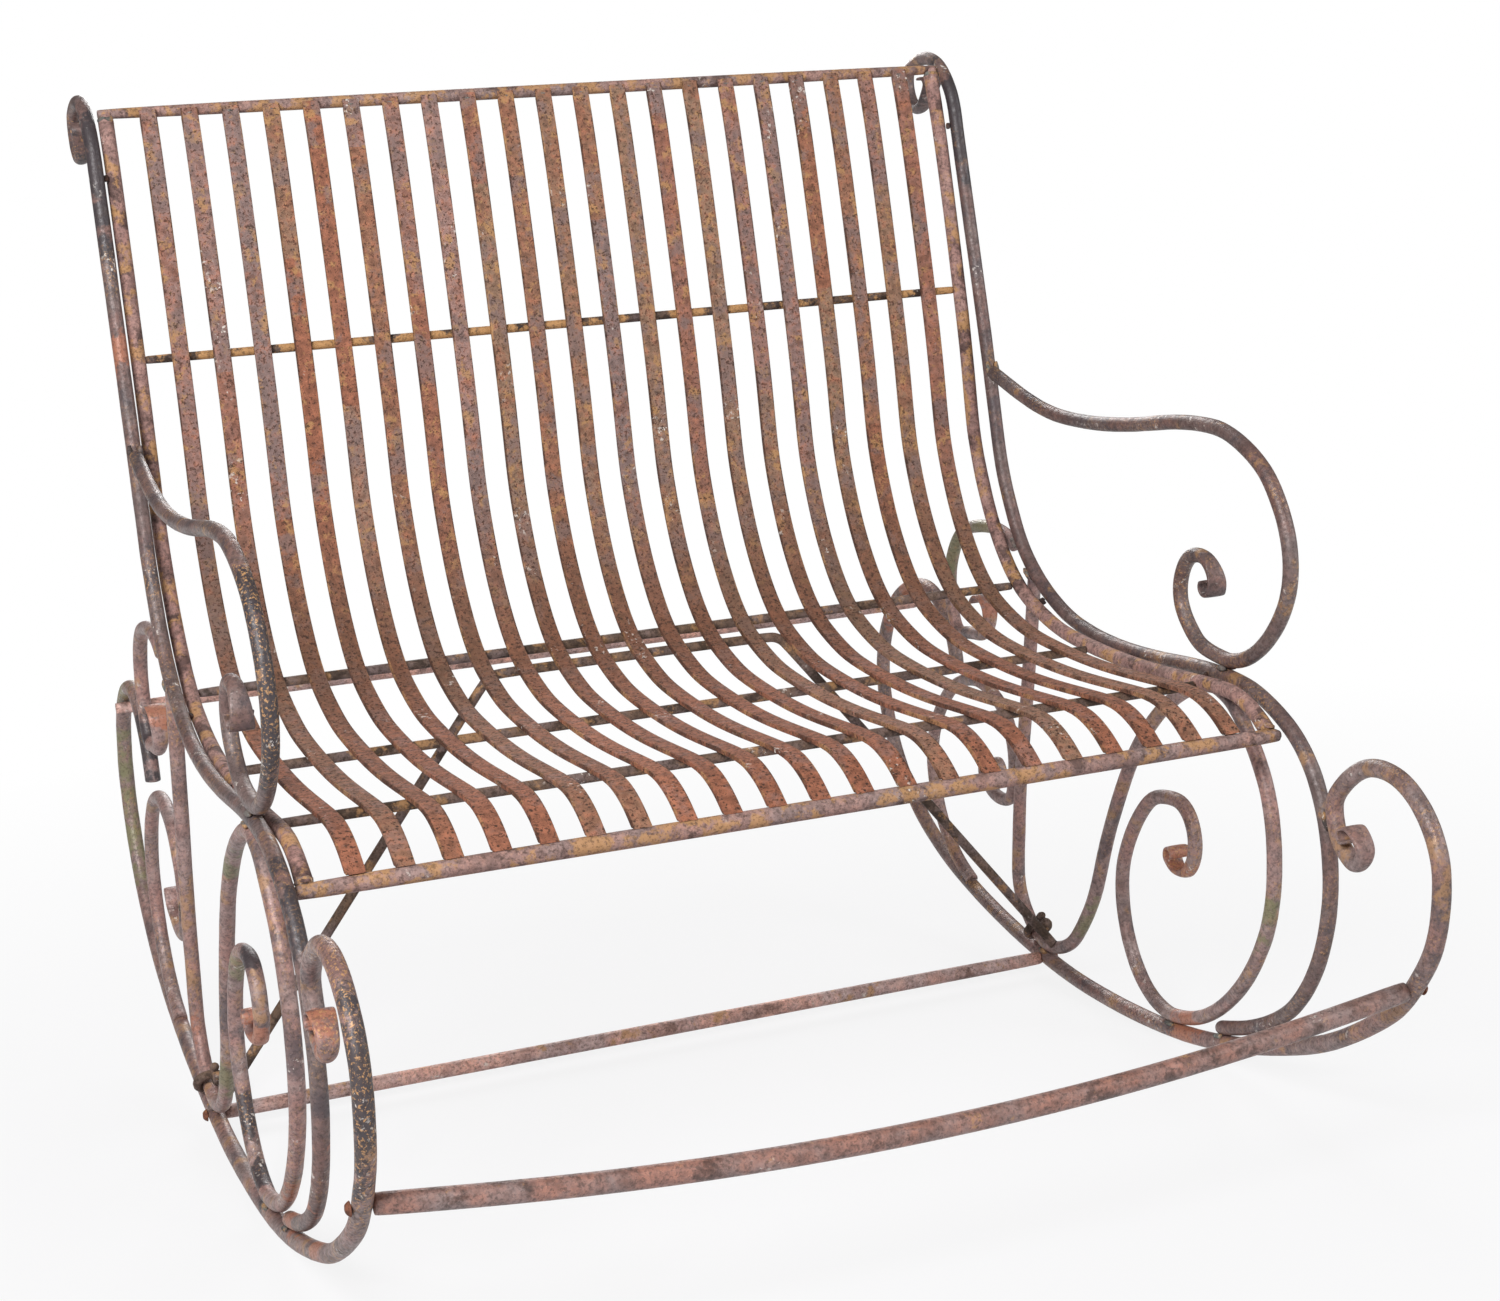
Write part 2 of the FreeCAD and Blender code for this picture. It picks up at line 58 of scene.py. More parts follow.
ACROSS = Vector((1.0, 0.0, 0.0))
UP = Vector((0.0, 0.0, 1.0))
MILLIMETRE = 0.001
SLAT_PITCH = 0.96 / 22     # from the middle of one slat to the middle of the next
FRAME_MIDDLE = 0.499       # from the middle of the bench to the middle of an end frame

MERGED = 0.00001           # points of a mesh that are closer than this become one
TOUCHING = 0.001           # bars that are closer than this touch, and can be welded
QUAD_FACE_ANGLE = math.radians(20)
QUAD_SHAPE_ANGLE = math.radians(70)
END_ANGLE = math.radians(58)       # edges sharper than this are the ends of a bar, which keep an edge

# Rails that the slats end on, with the direction of the slats in the side view
ENDS_OF_SLATS = (("top_rail", (-0.4625, -0.886)), ("front_rail", (0.881, 0.472)))
SLAT_RISE = 0.0055         # of the middle of the slats over the middle of the rails
SLAT_WELD_REACH = 0.80     # how far the welds of the slats lie from the middle of a rail, in its radii
CORNER_WELD_REACH = 0.9    # the same for the welds at the corners of the panel
CORNER_WELD = 0.480        # from the middle of the bench to those welds
GROOVE_DEPTH = 0.0055      # from the middle of two bars to the welds in the grooves beside them

# Half sizes of the weld beads: along the weld, and twice across it
SLAT_BEAD = (0.0085, 0.0026, 0.0026)
CORNER_BEAD = (0.0065, 0.0088, 0.0088)
GROOVE_BEAD = (0.009, 0.0030, 0.0032)
BEAD_LUMPS = 0.22          # unevenness of a bead before it gets its size
CORNER_SEED = 40
SEED_COUNT = 100           # keeps the seeds of the beads from being negative
TOUCH_STEPS = 12           # of the search for the place where two bars touch

# Curls at the ends of the brace, with their places as they are drawn in the side view: a ring round the
# foot of the leg, and the rolled tip beside it
WRAP_PLACE = (0.020, 0.026)
WRAP_AXIS = (0.86, 0.51)
WRAP_RADIUS = 0.0135
WRAP_THICKNESS = 0.0050    # radius of the bar of the ring
TIP_PLACE = (0.002, 0.043)
TIP_INWARD = 0.004         # from the middle of the end frame towards the middle of the bench
TIP_RADIUS = 0.0080
TIP_THICKNESS = 0.0046
TIP_TURN = math.radians(300)
CURL_LUMPS = 0.0004

# Welds of the end frames: two bars and about where they touch in the side view, in millimetres
FRAME_WELDS = (
    ("arm", "side_bar", -352, 484), ("arm", "side_bar", 186, 679), ("leg_scroll", "side_bar", -332, 470),
    ("leg_scroll", "side_bar", 72, 452), ("upper_scroll", "side_bar", 108, 484),
    ("upper_scroll", "rocker", 262, 338), ("leg_scroll", "rocker", -292, 65),
    ("leg_scroll", "rocker", -4, 0), ("side_bar", "rocker", -392, 84), ("side_bar", "rocker", -560, 405),
    ("lower_scroll", "leg_scroll", 80, 203),
)

# Places of the end frames where a coat shows: frame, back and up in millimetres of the side view, and
# how far it reaches, in metres
PAINTED = (
    ("left", -440, 680, 0.110), ("left", -456, 600, 0.080), ("left", 300, 945, 0.120),
    ("right", 300, 945, 0.110), ("left", -725, 400, 0.120), ("left", -458, 472, 0.030),
    ("left", -500, 440, 0.055), ("left", -282, 321, 0.030), ("left", -192, 99, 0.045),
    ("left", -268, 71, 0.040), ("left", 275, 330, 0.060),
)
MOSSY = (
    ("left", 443, 123, 0.110), ("left", 470, 230, 0.090), ("left", 396, 345, 0.080),
    ("right", 261, 451, 0.090), ("right", 191, 485, 0.060), ("left", -222, 398, 0.060),
    ("left", -212, 277, 0.050), ("left", -136, 108, 0.050), ("right", -455, 250, 0.060),
    ("both", -98, 95, 0.070),
)
FRESH = (
    ("right", 396, 345, 0.070), ("right", 445, 305, 0.060), ("both", 179, 392, 0.035),
    ("left", -300, 245, 0.055), ("left", -593, 392, 0.035), ("right", -300, 245, 0.050),
    ("left", -420, 120, 0.050), ("left", 230, 775, 0.040), ("left", -530, 150, 0.040),
    ("right", -331, 60, 0.050), ("left", -544, 259, 0.025), ("left", -516, 193, 0.025),
    ("left", 46, 76, 0.040),
)
GILDED = (
    ("left", -452, 640, 0.130), ("left", -420, 700, 0.080), ("left", -725, 400, 0.150),
    ("right", -300, 245, 0.045), ("left", -640, 470, 0.070),
)

# Where the seat turns up into the back, as drawn in the side view: the slats are darkened round it, partly
# dirt and partly painted shade in the crease
SEAT_BEND = Vector((0.0, 0.080, 0.465))

# Where the camera stands and looks, measured from the bench as it is drawn in its side view, in metres.
# The two rails say how that view was turned and moved when the bench was set down at its balance.
DRAWN_TOP_RAIL = Vector((0.0, 0.336, 1.008))
DRAWN_FRONT_RAIL = Vector((0.0, -0.468, 0.459))
DRAWN_CAMERA = Vector((-0.88513, -2.49177, 1.41069))
DRAWN_AIM = Vector((0.35085656, 0.87260218, -0.33980159))
SENSOR_WIDTH = 36.0        # in millimetres

# Lamps: name, place, size, and the setting that holds the power. All are aimed at the seat.
LAMPS = (
    ("key_lamp", (-2.3, -2.6, 2.7), 1.5, "key_power"),
    ("fill_lamp", (3.0, -1.8, 1.9), 1.5, "fill_power"),
    ("back_lamp", (0.9, 3.4, 2.2), 1.8, "back_power"),
)
LAMP_AIM = (0.0, 0.0, 0.4)

FLOOR_SIZE = 30.0
# How much of the floor shows as pure white: it rises between two distances from the middle of the bench
FLOOR_FADE = (("From Min", 0.7), ("From Max", 2.2), ("To Min", 0.84), ("To Max", 1.0))
WHITE = (1.0, 1.0, 1.0, 1.0)

PIT_BROWN = (0.040, 0.020, 0.014)
GRAIN_BROWN = (0.030, 0.019, 0.016)

# The seat's tints turn into those of the back between these heights
SEAT_TINTS_UP_TO = 0.48
BACK_TINTS_FROM = 0.64
TINT_CHANGES = 2.3         # of one slat, to the metre of its height
TINT_STEP = 0.37           # by which these changes shift from slat to slat
TINT_SEED = 0.6
SLAT_EDGE = (0.168, 0.186) # from the middle of a slat to where its edge begins, in pitches

# Input and output sockets of a Mix node that mixes colours
MIX_INPUTS = (0, 6, 7)
MIX_RESULT = 2


# ---- sizes and colours a user would change ----

class BenchBarSizes(bpy.types.PropertyGroup):
    edge_width: bpy.props.FloatProperty(
        name="Worn edge", description="Width of the rounded edge at the ends of the bars",
        default=0.0009, unit="LENGTH")
    slat_edge: bpy.props.FloatProperty(
        name="Slat edge", description="Width of the rounded edge along the slats",
        default=0.0011, unit="LENGTH")
    round_levels: bpy.props.IntProperty(
        name="Roundness", description="Subdivision of the bars", default=2, min=1, max=3)
    hammer_depth: bpy.props.FloatProperty(
        name="Hammer marks", description="How uneven the forged bars are",
        default=0.0007, unit="LENGTH")
    hammer_size: bpy.props.FloatProperty(
        name="Hammer size", description="Length of the unevenness along a bar",
        default=0.035, unit="LENGTH")


class BenchIronColours(bpy.types.PropertyGroup):
    slat_rust: bpy.props.FloatVectorProperty(
        name="Seat rust", description="Red-brown rust of the seat slats",
        default=(0.308, 0.120, 0.070), subtype="COLOR", size=3)
    olive_rust: bpy.props.FloatVectorProperty(
        name="Olive rust", description="Olive-brown rust of some slats and bars",
        default=(0.265, 0.165, 0.108), subtype="COLOR", size=3)
    back_rust: bpy.props.FloatVectorProperty(
        name="Back rust", description="Browner rust of the slats on the back",
        default=(0.340, 0.205, 0.178), subtype="COLOR", size=3)
    bar_rust: bpy.props.FloatVectorProperty(
        name="Bar rust", description="Purple-brown rust of the scrolled bars",
        default=(0.274, 0.154, 0.136), subtype="COLOR", size=3)
    grey_rust: bpy.props.FloatVectorProperty(
        name="Grey rust", description="Dull grey-mauve rust between the brown",
        default=(0.240, 0.172, 0.160), subtype="COLOR", size=3)
    worn_rail: bpy.props.FloatVectorProperty(
        name="Worn rail", description="Paler rust of the rails and stretchers",
        default=(0.345, 0.202, 0.172), subtype="COLOR", size=3)
    dark_paint: bpy.props.FloatVectorProperty(
        name="Dark paint", description="What is left of the blue-black paint",
        default=(0.040, 0.032, 0.037), subtype="COLOR", size=3)
    ochre: bpy.props.FloatVectorProperty(
        name="Ochre", description="Bright fresh rust",
        default=(0.52, 0.28, 0.115), subtype="COLOR", size=3)
    moss: bpy.props.FloatVectorProperty(
        name="Moss", description="Green growth on the sheltered bars",
        default=(0.2, 0.195, 0.085), subtype="COLOR", size=3)
    weld_tint: bpy.props.FloatVectorProperty(
        name="Weld tint", description="Cold grey-green tint of the welds",
        default=(0.135, 0.150, 0.135), subtype="COLOR", size=3)
    chalk: bpy.props.FloatVectorProperty(
        name="Chalk", description="Pale specks and weld scale",
        default=(0.7, 0.64, 0.58), subtype="COLOR", size=3)


class BenchStudio(bpy.types.PropertyGroup):
    floor_colour: bpy.props.FloatVectorProperty(
        name="Floor", description="Pale studio floor", default=(0.58, 0.57, 0.60),
        subtype="COLOR", size=3)
    sky_strength: bpy.props.FloatProperty(
        name="Sky", description="Strength of the even light round the bench", default=0.16)
    key_power: bpy.props.FloatProperty(
        name="Key lamp", description="Power of the large lamp at the upper left", default=186.0)
    fill_power: bpy.props.FloatProperty(
        name="Fill lamp", description="Power of the lamp at the right", default=48.0)
    back_power: bpy.props.FloatProperty(
        name="Back lamp", description="Power of the lamp behind the bench", default=95.0)
    lens: bpy.props.FloatProperty(
        name="Lens", description="Focal length for a 36 mm wide frame", default=62.655)


# ---- helpers ----

def middle_of(node):
    """The middle of a node's box."""
    low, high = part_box(node)
    return (low + high) / 2


def set_down():
    """How the drawn side view was turned and moved onto the ground."""
    top = middle_of("top_rail")
    front = middle_of("front_rail")
    as_drawn = DRAWN_TOP_RAIL - DRAWN_FRONT_RAIL
    as_stood = top - front
    turn = math.atan2(as_stood.z, as_stood.y) - math.atan2(as_drawn.z, as_drawn.y)
    turned = Matrix.Rotation(turn, 4, "X")
    return Matrix.Translation(top - turned @ DRAWN_TOP_RAIL) @ turned


def stood(x, drawn_place):
    """A place of the drawn side view, in metres, as a place of the bench as it stands."""
    return set_down() @ Vector((x, *drawn_place))


def beside(axis):
    """A main axis that lies well across the given one."""
    return ACROSS if abs(axis.x) < 0.5 else UP


def pick_only(piece):
    bpy.ops.object.select_all(action="DESELECT")
    piece.select_set(True)
    bpy.context.view_layer.objects.active = piece


def set_on(piece, finish):
    """The piece rides with the bench and takes its finish."""
    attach(piece, "root")
    piece.data.materials.clear()
    piece.data.materials.append(bpy.data.materials[finish])


def merged_copy(node, name):
    """A copy of a CAD bar with its loose triangles merged into long quads."""
    piece = bpy.data.objects.new(name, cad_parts[node].data.copy())
    bpy.context.scene.collection.objects.link(piece)
    pick_only(piece)
    bpy.ops.mesh.customdata_custom_splitnormals_clear()
    bpy.ops.object.mode_set(mode="EDIT")
    bpy.ops.mesh.select_all(action="SELECT")
    bpy.ops.mesh.remove_doubles(threshold=MERGED)
    bpy.ops.mesh.tris_convert_to_quads(face_threshold=QUAD_FACE_ANGLE, shape_threshold=QUAD_SHAPE_ANGLE)
    bpy.ops.object.mode_set(mode="OBJECT")
    return piece


def rounded_bar(node, finish, edge_width, hammered):
    """Stands for a CAD bar: ends held by a worn edge, sides made round, surface hammered uneven."""
    sizes = bpy.context.scene.bench_bars
    piece = merged_copy(node, node + "_iron")
    edge = piece.modifiers.new("worn_edge", "BEVEL")
    edge.limit_method = "ANGLE"
    edge.angle_limit = END_ANGLE
    edge.width = edge_width
    edge.segments = 1
    smooth = piece.modifiers.new("round", "SUBSURF")
    smooth.levels = smooth.render_levels = sizes.round_levels
    for modifier in ("worn_edge", "round"):
        bpy.ops.object.modifier_apply(modifier=modifier)
    if hammered:
        marks = piece.modifiers.new("hammer_marks", "DISPLACE")
        marks.texture = bpy.data.textures["hammer_marks"]
        marks.texture_coords = "LOCAL"
        marks.strength = sizes.hammer_depth
        marks.mid_level = 0.5
        bpy.ops.object.modifier_apply(modifier="hammer_marks")
    bpy.ops.object.shade_smooth()
    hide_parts(node)
    set_on(piece, finish)


# ---- finishes ----

class Finish:
    """A material that is built up in coats, each mixed over the last by its own mask."""

    def __init__(self, name, offset):
        self.material = bpy.data.materials.get(name) or bpy.data.materials.new(name)
        self.material.use_nodes = True
        self.tree = self.material.node_tree
        self.tree.nodes.clear()
        self.place = self.node("ShaderNodeTexCoord").outputs["Object"]
        shift = self.node("ShaderNodeMapping", Location=offset)
        self.tree.links.new(self.place, shift.inputs["Vector"])
        self.where = shift.outputs["Vector"]
        self.colour = None

    def node(self, kind, **inputs):
        """A node with its inputs set: from a value, or from the output of another node."""
        node = self.tree.nodes.new(kind)
        for name, value in inputs.items():
            self.feed(node.inputs[name], value)
        return node

    def feed(self, socket, value):
        if isinstance(value, bpy.types.NodeSocket):
            self.tree.links.new(value, socket)
        else:
            socket.default_value = value

    def noise(self, scale, detail, roughness):
        """Clouds with values round 0.5. Scale says how fine they are, and the others how they break up."""
        noise = self.node("ShaderNodeTexNoise", Vector=self.where, Scale=scale, Detail=detail,
                          Roughness=roughness)
        return noise.outputs["Fac"]

    def ramp(self, source, stops):
        """Values or colours along a source: each stop is a position and what it gives."""
        ramp = self.node("ShaderNodeValToRGB", Fac=source)
        elements = ramp.color_ramp.elements
        while len(elements) < len(stops):
            elements.new(0.5)
        for element, (position, value) in zip(elements, stops):
            element.position = position
            element.color = (*value, 1.0) if hasattr(value, "__len__") else (value, value, value, 1.0)
        return ramp.outputs["Color"]

    def rising(self, source, start, end):
        return self.ramp(source, ((start, 0.0), (end, 1.0)))

    def falling(self, source, start, end):
        return self.ramp(source, ((start, 1.0), (end, 0.0)))

    def maths(self, operation, *values):
        node = self.node("ShaderNodeMath")
        node.operation = operation
        for socket, value in zip(node.inputs, values):
            self.feed(socket, value)
        return node.outputs[0]

    def vector_maths(self, operation, first, second):
        node = self.node("ShaderNodeVectorMath")
        node.operation = operation
        self.feed(node.inputs[0], first)
        self.feed(node.inputs[1], second)
        return node.outputs["Value" if operation == "DISTANCE" else "Vector"]

    def mixed(self, share, under, over):
        """One colour over another by a share from 0 to 1."""
        mix = self.node("ShaderNodeMix")
        mix.data_type = "RGBA"
        for number, value in zip(MIX_INPUTS, (share, under, over)):
            self.feed(mix.inputs[number], (*value, 1.0) if hasattr(value, "__len__") else value)
        return mix.outputs[MIX_RESULT]

    def coat(self, mask, colour, cover=1.0):
        """Lays a coat over the last one where the mask is white. Cover says how well it hides it."""
        if cover < 1.0:
            mask = self.maths("MULTIPLY", mask, cover)
        self.colour = self.mixed(mask, self.colour, colour)

    def patches(self, scale, amount, edge=0.05, detail=5.0):
        """A mask of patches, more of them as the amount goes up. Edge says how softly they end."""
        level = 0.70 - 0.42 * amount
        return self.rising(self.noise(scale, detail, roughness=0.68), level - edge, level + edge)

    def spots(self, places, scale, density, edge=0.03):
        """A ragged mask round some places of the bench, each with its reach, thinner towards the reach."""
        whole = None
        for x, y, z, reach in places:
            near = self.maths("DIVIDE", self.vector_maths("DISTANCE", self.place, (x, y, z)), reach)
            whole = near if whole is None else self.maths("MINIMUM", whole, near)
        fall = self.maths("MULTIPLY_ADD", self.maths("MULTIPLY", whole, whole), -0.30, density)
        cover = self.maths("ADD", self.noise(scale, detail=7.0, roughness=0.68), fall)
        return self.rising(cover, 0.5 - edge, 0.5 + edge)


def tone(colour, factor, warm=0.0):
    """A lighter or darker tone of a colour, turned towards orange by warm."""
    red, green, blue = colour
    changed = (red * factor * (1 + warm), green * factor, blue * factor * (1 - warm))
    return tuple(min(1.0, part) for part in changed)


def drawn(side, y, z, reach):
    """A place of the side view, in millimetres, as a place and reach on one end frame as it stands."""
    return (*stood(side * FRAME_MIDDLE, (y * MILLIMETRE, z * MILLIMETRE)), reach)


def spread(places):
    """Places and reaches on the end frames as they stand, from a list that names left, right or both."""
    sides = {"left": (-1,), "right": (1,), "both": (-1, 1)}
    return [drawn(sign, y, z, reach) for side, y, z, reach in places for sign in sides[side]]


def base_coat(finish, colour, grey):
    """Mottled rust between two neighbouring tones, from dark to worn bright."""
    broad = finish.rising(finish.noise(scale=17.0, detail=5.0, roughness=0.62), 0.40, 0.60)
    mottles = finish.noise(scale=135.0, detail=6.0, roughness=0.76)
    finish.colour = finish.mixed(broad, colour, grey)
    lighter = finish.mixed(broad, tone(colour, 1.50, warm=0.10), tone(grey, 1.50))
    finish.coat(finish.rising(mottles, 0.49, 0.60), lighter, cover=0.55)
    finish.coat(finish.falling(mottles, 0.38, 0.49), tone(colour, 0.36), cover=0.55)
    shaded = finish.falling(finish.noise(scale=28.0, detail=7.0, roughness=0.66), 0.38, 0.50)
    finish.coat(shaded, tone(colour, 0.45), cover=0.55)
    scaled = finish.rising(finish.noise(scale=22.0, detail=7.0, roughness=0.66), 0.54, 0.62)
    finish.coat(scaled, tone(grey, 1.7), cover=0.28)


def slat_coat(finish):
    """Each slat its own tint: redder on the seat, greyer on the back, ochre along its edges that is partly
    worn rust and partly painted highlight.
    """
    colours = bpy.context.scene.bench_colours
    split = finish.node("ShaderNodeSeparateXYZ", Vector=finish.place)
    height = finish.rising(split.outputs["Z"], SEAT_TINTS_UP_TO, BACK_TINTS_FROM)
    pitches = finish.maths("DIVIDE", split.outputs["X"], SLAT_PITCH)
    number = finish.maths("ROUND", pitches)
    shift = finish.maths("MULTIPLY", number, TINT_STEP)
    change = finish.maths("ROUND", finish.maths("MULTIPLY_ADD", split.outputs["Z"], TINT_CHANGES, shift))
    chance = finish.node("ShaderNodeTexWhiteNoise")
    chance.noise_dimensions = "2D"
    seed = finish.node("ShaderNodeCombineXYZ", X=number, Y=finish.maths("MULTIPLY", change, TINT_SEED))
    finish.feed(chance.inputs["Vector"], seed.outputs["Vector"])
    pick = chance.outputs["Value"]
    seat = finish.ramp(pick, (
        (0.0, colours.slat_rust), (0.45, tone(colours.slat_rust, 0.84, warm=0.05)),
        (0.75, colours.olive_rust), (1.0, tone(colours.slat_rust, 1.12, warm=0.05))))
    back = finish.ramp(pick, (
        (0.0, colours.back_rust), (0.30, tone(colours.olive_rust, 1.05)),
        (0.50, tone(colours.slat_rust, 0.95)), (0.75, tone(colours.back_rust, 0.85)),
        (1.0, colours.grey_rust)))
    finish.colour = finish.mixed(height, seat, back)

    clouds = finish.noise(scale=24.0, detail=6.0, roughness=0.66)
    mottles = finish.noise(scale=150.0, detail=6.0, roughness=0.76)
    finish.coat(finish.rising(clouds, 0.52, 0.60), tone(colours.back_rust, 0.80), cover=0.50)
    finish.coat(finish.falling(clouds, 0.38, 0.46), tone(colours.slat_rust, 0.80), cover=0.55)
    finish.coat(finish.rising(mottles, 0.49, 0.62), tone(colours.slat_rust, 1.75, warm=0.05), cover=0.60)
    finish.coat(finish.falling(mottles, 0.37, 0.48), tone(colours.slat_rust, 0.32), cover=0.65)
    pits = finish.node("ShaderNodeTexVoronoi", Vector=finish.where, Scale=165.0)
    fewer = finish.maths("MULTIPLY_ADD", height, -0.70, 0.85)
    pitted = finish.falling(pits.outputs["Distance"], 0.17, 0.30)
    finish.coat(finish.maths("MULTIPLY", pitted, fewer), PIT_BROWN)

    # Painted shade and dirt: the slats grow darker near the bend of the seat into the back
    flat = finish.vector_maths("MULTIPLY", finish.place, (0.0, 1.0, 1.0))
    from_bend = finish.vector_maths("DISTANCE", flat, set_down() @ SEAT_BEND)
    finish.coat(finish.falling(from_bend, 0.05, 0.20), tone(colours.olive_rust, 0.36), cover=0.50)
    bloom = finish.patches(scale=60.0, amount=0.30, edge=0.03, detail=7.0)
    finish.coat(finish.maths("MULTIPLY", bloom, height), tone(colours.ochre, 0.85), cover=0.70)
    bare = finish.patches(scale=24.0, amount=0.36, edge=0.03, detail=8.0)
    finish.coat(finish.maths("MULTIPLY", bare, height), tone(colours.grey_rust, 0.80), cover=0.55)
    across = finish.maths("ABSOLUTE", finish.maths("SUBTRACT", pitches, number))
    edge = finish.rising(across, *SLAT_EDGE)
    # Ochre patches along both edges of each slat: partly worn rust, partly a painted highlight of the
    # edges
    worn = finish.patches(scale=26.0, amount=0.34)
    finish.coat(finish.maths("MULTIPLY", edge, worn), tone(colours.ochre, 0.9), cover=0.55)
    dark = finish.patches(scale=21.0, amount=0.42)
    finish.coat(finish.maths("MULTIPLY", edge, dark), tone(colours.slat_rust, 0.22), cover=0.8)


def finish_off(finish, shine, bump_depth, pitting):
    """Dark grain, roughness and the small relief of the crust, and the shader they go into."""
    grain = finish.noise(scale=300.0, detail=4.0, roughness=0.72)
    finish.coat(finish.rising(grain, 0.52, 0.60), GRAIN_BROWN, pitting)
    rough = finish.ramp(grain, ((0.38, 0.72 - 0.42 * shine), (0.62, 0.95 - 0.35 * shine)))
    shader = finish.node("ShaderNodeBsdfPrincipled", Roughness=rough)
    finish.feed(shader.inputs["Base Color"], finish.colour)
    shader.inputs["Metallic"].default_value = 0.12 * shine
    shader.inputs["Specular IOR Level"].default_value = 0.24 + 0.5 * shine
    crust = finish.maths("ADD", finish.noise(scale=80.0, detail=6.0, roughness=0.66), grain)
    bump = finish.node("ShaderNodeBump", Strength=0.9, Distance=bump_depth, Height=crust)
    finish.feed(shader.inputs["Normal"], bump.outputs["Normal"])
    out = finish.node("ShaderNodeOutputMaterial")
    finish.feed(out.inputs["Surface"], shader.outputs["BSDF"])


def specks(finish, amount):
    """Pale specks in a few clusters."""
    colours = bpy.context.scene.bench_colours
    clusters = finish.patches(scale=11.0, amount=amount, edge=0.04, detail=3.0)
    points = finish.rising(finish.noise(scale=190.0, detail=3.0, roughness=0.6), 0.60, 0.63)
    finish.coat(finish.maths("MULTIPLY", clusters, points), colours.chalk, cover=0.85)


def scroll_finish(name, offset, lightness, paint, ochre):
    """The end frames: purple-brown iron with paint, moss and fresh rust where the bench shows them."""
    colours = bpy.context.scene.bench_colours
    finish = Finish(name, offset)
    base_coat(finish, tone(colours.bar_rust, lightness), tone(colours.grey_rust, lightness))
    finish.coat(finish.patches(scale=15.0, amount=paint, edge=0.04, detail=9.0),
                tone(colours.dark_paint, 1.6), cover=0.70)
    finish.coat(finish.patches(scale=27.0, amount=ochre, edge=0.03, detail=8.0),
                tone(colours.ochre, 0.80), cover=0.60)
    finish.coat(finish.spots(spread(PAINTED), scale=34.0, density=0.11), colours.dark_paint, cover=0.92)
    finish.coat(finish.spots(spread(MOSSY), scale=30.0, density=0.05, edge=0.05), colours.moss, cover=0.75)
    finish.coat(finish.spots(spread(FRESH), scale=40.0, density=0.08),
                tone(colours.slat_rust, 1.22, warm=0.05), cover=0.80)
    flecks = finish.rising(finish.noise(scale=340.0, detail=4.0, roughness=0.68), 0.55, 0.60)
    gilded = finish.spots(spread(GILDED), scale=20.0, density=0.16)
    finish.coat(finish.maths("MULTIPLY", gilded, flecks), tone(colours.ochre, 1.05), cover=0.8)
    strewn = finish.patches(scale=9.0, amount=0.36, edge=0.06, detail=4.0)
    finish.coat(finish.maths("MULTIPLY", strewn, flecks), colours.ochre, cover=0.6)
    specks(finish, amount=0.20)
    finish_off(finish, shine=0.85, bump_depth=0.0006, pitting=0.45)


def bar_finish(name, colour, grey, offset, ochre, dark, speckled=0.15, shine=0.2, cover=0.75):
    """A cross bar or rail: mottled rust with darker patches and a bloom of ochre with its own cover."""
    colours = bpy.context.scene.bench_colours
    finish = Finish(name, offset)
    base_coat(finish, colour, grey)
    darker = finish.patches(scale=24.0, amount=dark, edge=0.03, detail=8.0)
    finish.coat(darker, tone(colour, 0.24), cover=0.80)
    bloom = finish.patches(scale=36.0, amount=ochre, edge=0.03, detail=7.0)
    finish.coat(bloom, tone(colours.ochre, 0.9), cover)
    specks(finish, speckled)
    finish_off(finish, shine, bump_depth=0.0006, pitting=0.50)


